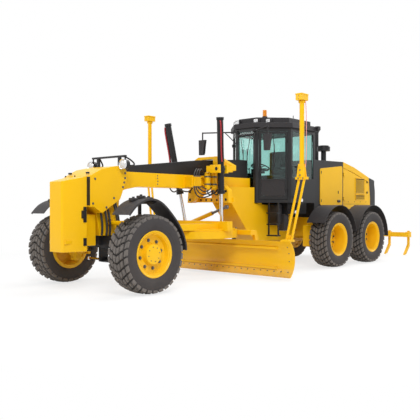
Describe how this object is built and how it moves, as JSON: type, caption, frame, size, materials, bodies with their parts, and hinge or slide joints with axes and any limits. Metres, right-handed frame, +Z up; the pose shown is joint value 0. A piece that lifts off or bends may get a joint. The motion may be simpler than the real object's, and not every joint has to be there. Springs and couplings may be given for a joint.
{
  "type": "motor grader",
  "caption": "Six-wheel articulated motor grader with a cab, a blade hung under the frame on a drawbar and turning circle, leaning front wheels and a rear ripper.",
  "frame": {"origin": "on the ground under the middle of the machine's length", "axes": "+X forward, +Y to the left, +Z up"},
  "size_m": [10.208, 4.17, 3.39],
  "materials": {
    "yellow_paint": "semi-gloss yellow machine paint",
    "black_paint": "satin black paint",
    "tyre_rubber": "worn rubber",
    "seat_fabric": "woven black cloth",
    "tinted_glass": "green tinted glass",
    "chrome_rod": "polished hard chrome",
    "cast_engine": "painted casting"
  },
  "bodies": {
    "chassis": {"front_frame": "yellow_paint", "nose_housing": "yellow_paint", "beam_cover": "black_paint", "front_axle": "yellow_paint", "lift_saddle": "yellow_paint", "cab_shell": "black_paint", "cab_roof": "black_paint", "cab_windows": "tinted_glass", "operator_seat": "seat_fabric", "steering_console": "black_paint", "head_lamps": "black_paint", "mirrors": "black_paint"},
    "rear_chassis": {"rear_frame": "yellow_paint", "hood": "yellow_paint", "engine_block": "cast_engine", "radiator_guard": "black_paint", "stack_and_precleaner": "black_paint", "tandem_cases": "yellow_paint", "rear_fenders": "black_paint"},
    "drawbar_pivot": {"drawbar_ball": "yellow_paint"},
    "drawbar": {"drawbar": "yellow_paint"},
    "circle": {"circle": "yellow_paint"},
    "blade_carrier": {"blade_carrier": "yellow_paint"},
    "blade": {"moldboard": "yellow_paint", "survey_masts": "yellow_paint"},
    "centre_shift_barrel": {"centre_shift_barrel": "yellow_paint"},
    "centre_shift_rod": {"centre_shift_rod": "chrome_rod"},
    "lean_bar": {"lean_bar": "yellow_paint"},
    "tie_rod": {"tie_rod": "chrome_rod"},
    "ripper_arms": {"ripper_arms": "yellow_paint"},
    "ripper_beam": {"ripper_beam": "yellow_paint"},
    "lean_bracket_left": {"lean_bracket_left": "yellow_paint"},
    "knuckle_left": {"knuckle_left": "yellow_paint", "front_fender_left": "black_paint"},
    "cab_door_left": {"cab_door_left": "black_paint"},
    "engine_door_left": {"engine_door_left": "yellow_paint"},
    "lift_barrel_left": {"lift_barrel_left": "black_paint"},
    "lift_rod_left": {"lift_rod_left": "chrome_rod"},
    "wheel_front_left": {"tyre_front_left": "tyre_rubber", "rim_front_left": "yellow_paint"},
    "wheel_middle_left": {"tyre_middle_left": "tyre_rubber", "rim_middle_left": "yellow_paint"},
    "wheel_rear_left": {"tyre_rear_left": "tyre_rubber", "rim_rear_left": "yellow_paint"},
    "lean_bracket_right": {"lean_bracket_right": "yellow_paint"},
    "knuckle_right": {"knuckle_right": "yellow_paint", "front_fender_right": "black_paint"},
    "cab_door_right": {"cab_door_right": "black_paint"},
    "engine_door_right": {"engine_door_right": "yellow_paint"},
    "lift_barrel_right": {"lift_barrel_right": "black_paint"},
    "lift_rod_right": {"lift_rod_right": "chrome_rod"},
    "wheel_front_right": {"tyre_front_right": "tyre_rubber", "rim_front_right": "yellow_paint"},
    "wheel_middle_right": {"tyre_middle_right": "tyre_rubber", "rim_middle_right": "yellow_paint"},
    "wheel_rear_right": {"tyre_rear_right": "tyre_rubber", "rim_rear_right": "yellow_paint"}
  },
  "joints": [
    {"name": "articulation", "type": "hinge", "parent": "chassis", "child": "rear_chassis", "pos_m": [-0.985, 0, 0.9], "axis": [0, 0, 1], "range_deg": [-20, 20]},
    {"name": "wheel_lean", "type": "hinge", "parent": "chassis", "child": "lean_bracket_left", "pos_m": [4.215, 0.62, 0.62], "axis": [-1, 0, 0], "range_deg": [-18, 18]},
    {"name": "wheel_lean_right", "type": "hinge", "parent": "chassis", "child": "lean_bracket_right", "pos_m": [4.215, -0.62, 0.62], "axis": [-1, 0, 0], "range_deg": [-18, 18]},
    {"name": "lean_bar_slide", "type": "slide", "parent": "chassis", "child": "lean_bar", "axis": [0, 1, 0], "range_m": [-0.15, 0.15]},
    {"name": "steering", "type": "hinge", "parent": "lean_bracket_left", "child": "knuckle_left", "pos_m": [4.215, 0.78, 0.6], "axis": [0, 0, 1], "range_deg": [-47.5, 47.5]},
    {"name": "steering_right", "type": "hinge", "parent": "lean_bracket_right", "child": "knuckle_right", "pos_m": [4.215, -0.78, 0.6], "axis": [0, 0, 1], "range_deg": [-47.5, 47.5]},
    {"name": "tie_rod_slide", "type": "slide", "parent": "chassis", "child": "tie_rod", "axis": [0, 1, 0], "range_m": [-0.2, 0.2]},
    {"name": "wheel_front_left_spin", "type": "hinge", "parent": "knuckle_left", "child": "wheel_front_left", "pos_m": [4.215, 1.07, 0.6], "axis": [0, 1, 0], "continuous": true},
    {"name": "wheel_middle_left_spin", "type": "hinge", "parent": "rear_chassis", "child": "wheel_middle_left", "pos_m": [-1.1465, 1.07, 0.6], "axis": [0, 1, 0], "continuous": true},
    {"name": "wheel_rear_left_spin", "type": "hinge", "parent": "rear_chassis", "child": "wheel_rear_left", "pos_m": [-2.6695, 1.07, 0.6], "axis": [0, 1, 0], "continuous": true},
    {"name": "cab_door_left_hinge", "type": "hinge", "parent": "chassis", "child": "cab_door_left", "pos_m": [0.03121, 0.74358, 2.1], "axis": [0, 0, 1], "range_deg": [0, 80]},
    {"name": "engine_door_left_hinge", "type": "hinge", "parent": "rear_chassis", "child": "engine_door_left", "pos_m": [-2.6485, 0.514, 1.8], "axis": [0, 0, -1], "range_deg": [0, 80]},
    {"name": "wheel_front_right_spin", "type": "hinge", "parent": "knuckle_right", "child": "wheel_front_right", "pos_m": [4.215, -1.07, 0.6], "axis": [0, 1, 0], "continuous": true},
    {"name": "wheel_middle_right_spin", "type": "hinge", "parent": "rear_chassis", "child": "wheel_middle_right", "pos_m": [-1.1465, -1.07, 0.6], "axis": [0, 1, 0], "continuous": true},
    {"name": "wheel_rear_right_spin", "type": "hinge", "parent": "rear_chassis", "child": "wheel_rear_right", "pos_m": [-2.6695, -1.07, 0.6], "axis": [0, 1, 0], "continuous": true},
    {"name": "cab_door_right_hinge", "type": "hinge", "parent": "chassis", "child": "cab_door_right", "pos_m": [0.03121, -0.74358, 2.1], "axis": [0, 0, -1], "range_deg": [0, 80]},
    {"name": "engine_door_right_hinge", "type": "hinge", "parent": "rear_chassis", "child": "engine_door_right", "pos_m": [-2.6485, -0.514, 1.8], "axis": [0, 0, 1], "range_deg": [0, 80]},
    {"name": "drawbar_swing", "type": "hinge", "parent": "chassis", "child": "drawbar_pivot", "pos_m": [3.915, 0, 0.86], "axis": [0, 0, -1], "range_deg": [-8.5, 8.5]},
    {"name": "drawbar_lift", "type": "hinge", "parent": "drawbar_pivot", "child": "drawbar", "pos_m": [3.915, 0, 0.86], "axis": [0, 1, 0], "range_deg": [-17, 9.5]},
    {"name": "circle_turn", "type": "hinge", "parent": "drawbar", "child": "circle", "pos_m": [1.965, 0, 0.8], "axis": [0, 0, 1], "range_deg": [-40, 40]},
    {"name": "blade_tip", "type": "hinge", "parent": "circle", "child": "blade_carrier", "pos_m": [1.17, 0, 0.26], "axis": [0, 1, 0], "range_deg": [-5, 40]},
    {"name": "blade_side_shift", "type": "slide", "parent": "blade_carrier", "child": "blade", "axis": [0, 1, 0], "range_m": [-0.79, 0.63]},
    {"name": "lift_barrel_left_lean", "type": "hinge", "parent": "chassis", "child": "lift_barrel_left", "pos_m": [1.95077, 0.58173, 2], "axis": [1, 0, 0], "range_deg": [-19, 19]},
    {"name": "lift_rod_left_slide", "type": "slide", "parent": "lift_barrel_left", "child": "lift_rod_left", "axis": [-0.1421, -0.104, -0.9844], "range_m": [-0.36, 0.64]},
    {"name": "lift_barrel_right_lean", "type": "hinge", "parent": "chassis", "child": "lift_barrel_right", "pos_m": [1.95077, -0.58173, 2], "axis": [1, 0, 0], "range_deg": [-19, 19]},
    {"name": "lift_rod_right_slide", "type": "slide", "parent": "lift_barrel_right", "child": "lift_rod_right", "axis": [-0.1421, 0.104, -0.9844], "range_m": [-0.36, 0.64]},
    {"name": "centre_shift_barrel_lean", "type": "hinge", "parent": "drawbar", "child": "centre_shift_barrel", "pos_m": [1.4, -0.8, 0.951], "axis": [1, 0, 0], "range_deg": [-21, 37]},
    {"name": "centre_shift_rod_slide", "type": "slide", "parent": "centre_shift_barrel", "child": "centre_shift_rod", "axis": [0, 0.949, 0.3154], "range_m": [-0.33, 0.33]},
    {"name": "ripper_lift", "type": "hinge", "parent": "rear_chassis", "child": "ripper_arms", "pos_m": [-4.085, 0, 0.65], "axis": [0, 1, 0], "range_deg": [-30, 27]},
    {"name": "ripper_level", "type": "hinge", "parent": "ripper_arms", "child": "ripper_beam", "pos_m": [-4.835, 0, 0.56], "axis": [0, 1, 0], "range_deg": [-27, 30]}
  ],
  "couplings": [
    {"joint": "wheel_lean_right", "follows": "wheel_lean", "ratio": 1},
    {"joint": "lean_bar_slide", "follows": "wheel_lean", "m_per_rad": 0.42296},
    {"joint": "steering_right", "follows": "steering", "ratio": 1},
    {"joint": "tie_rod_slide", "follows": "steering", "m_per_rad": -0.22233},
    {"joint": "lift_barrel_left_lean", "follows": "drawbar_swing", "ratio": 2.03},
    {"joint": "lift_rod_left_slide", "follows": "drawbar_lift", "m_per_rad": -2.123},
    {"joint": "lift_barrel_right_lean", "follows": "drawbar_swing", "ratio": 2.03},
    {"joint": "lift_rod_right_slide", "follows": "drawbar_lift", "m_per_rad": -2.123},
    {"joint": "centre_shift_barrel_lean", "follows": "drawbar_lift", "ratio": -2.1},
    {"joint": "centre_shift_rod_slide", "follows": "drawbar_swing", "m_per_rad": -2.15},
    {"joint": "ripper_level", "follows": "ripper_lift", "ratio": -1}
  ]
}
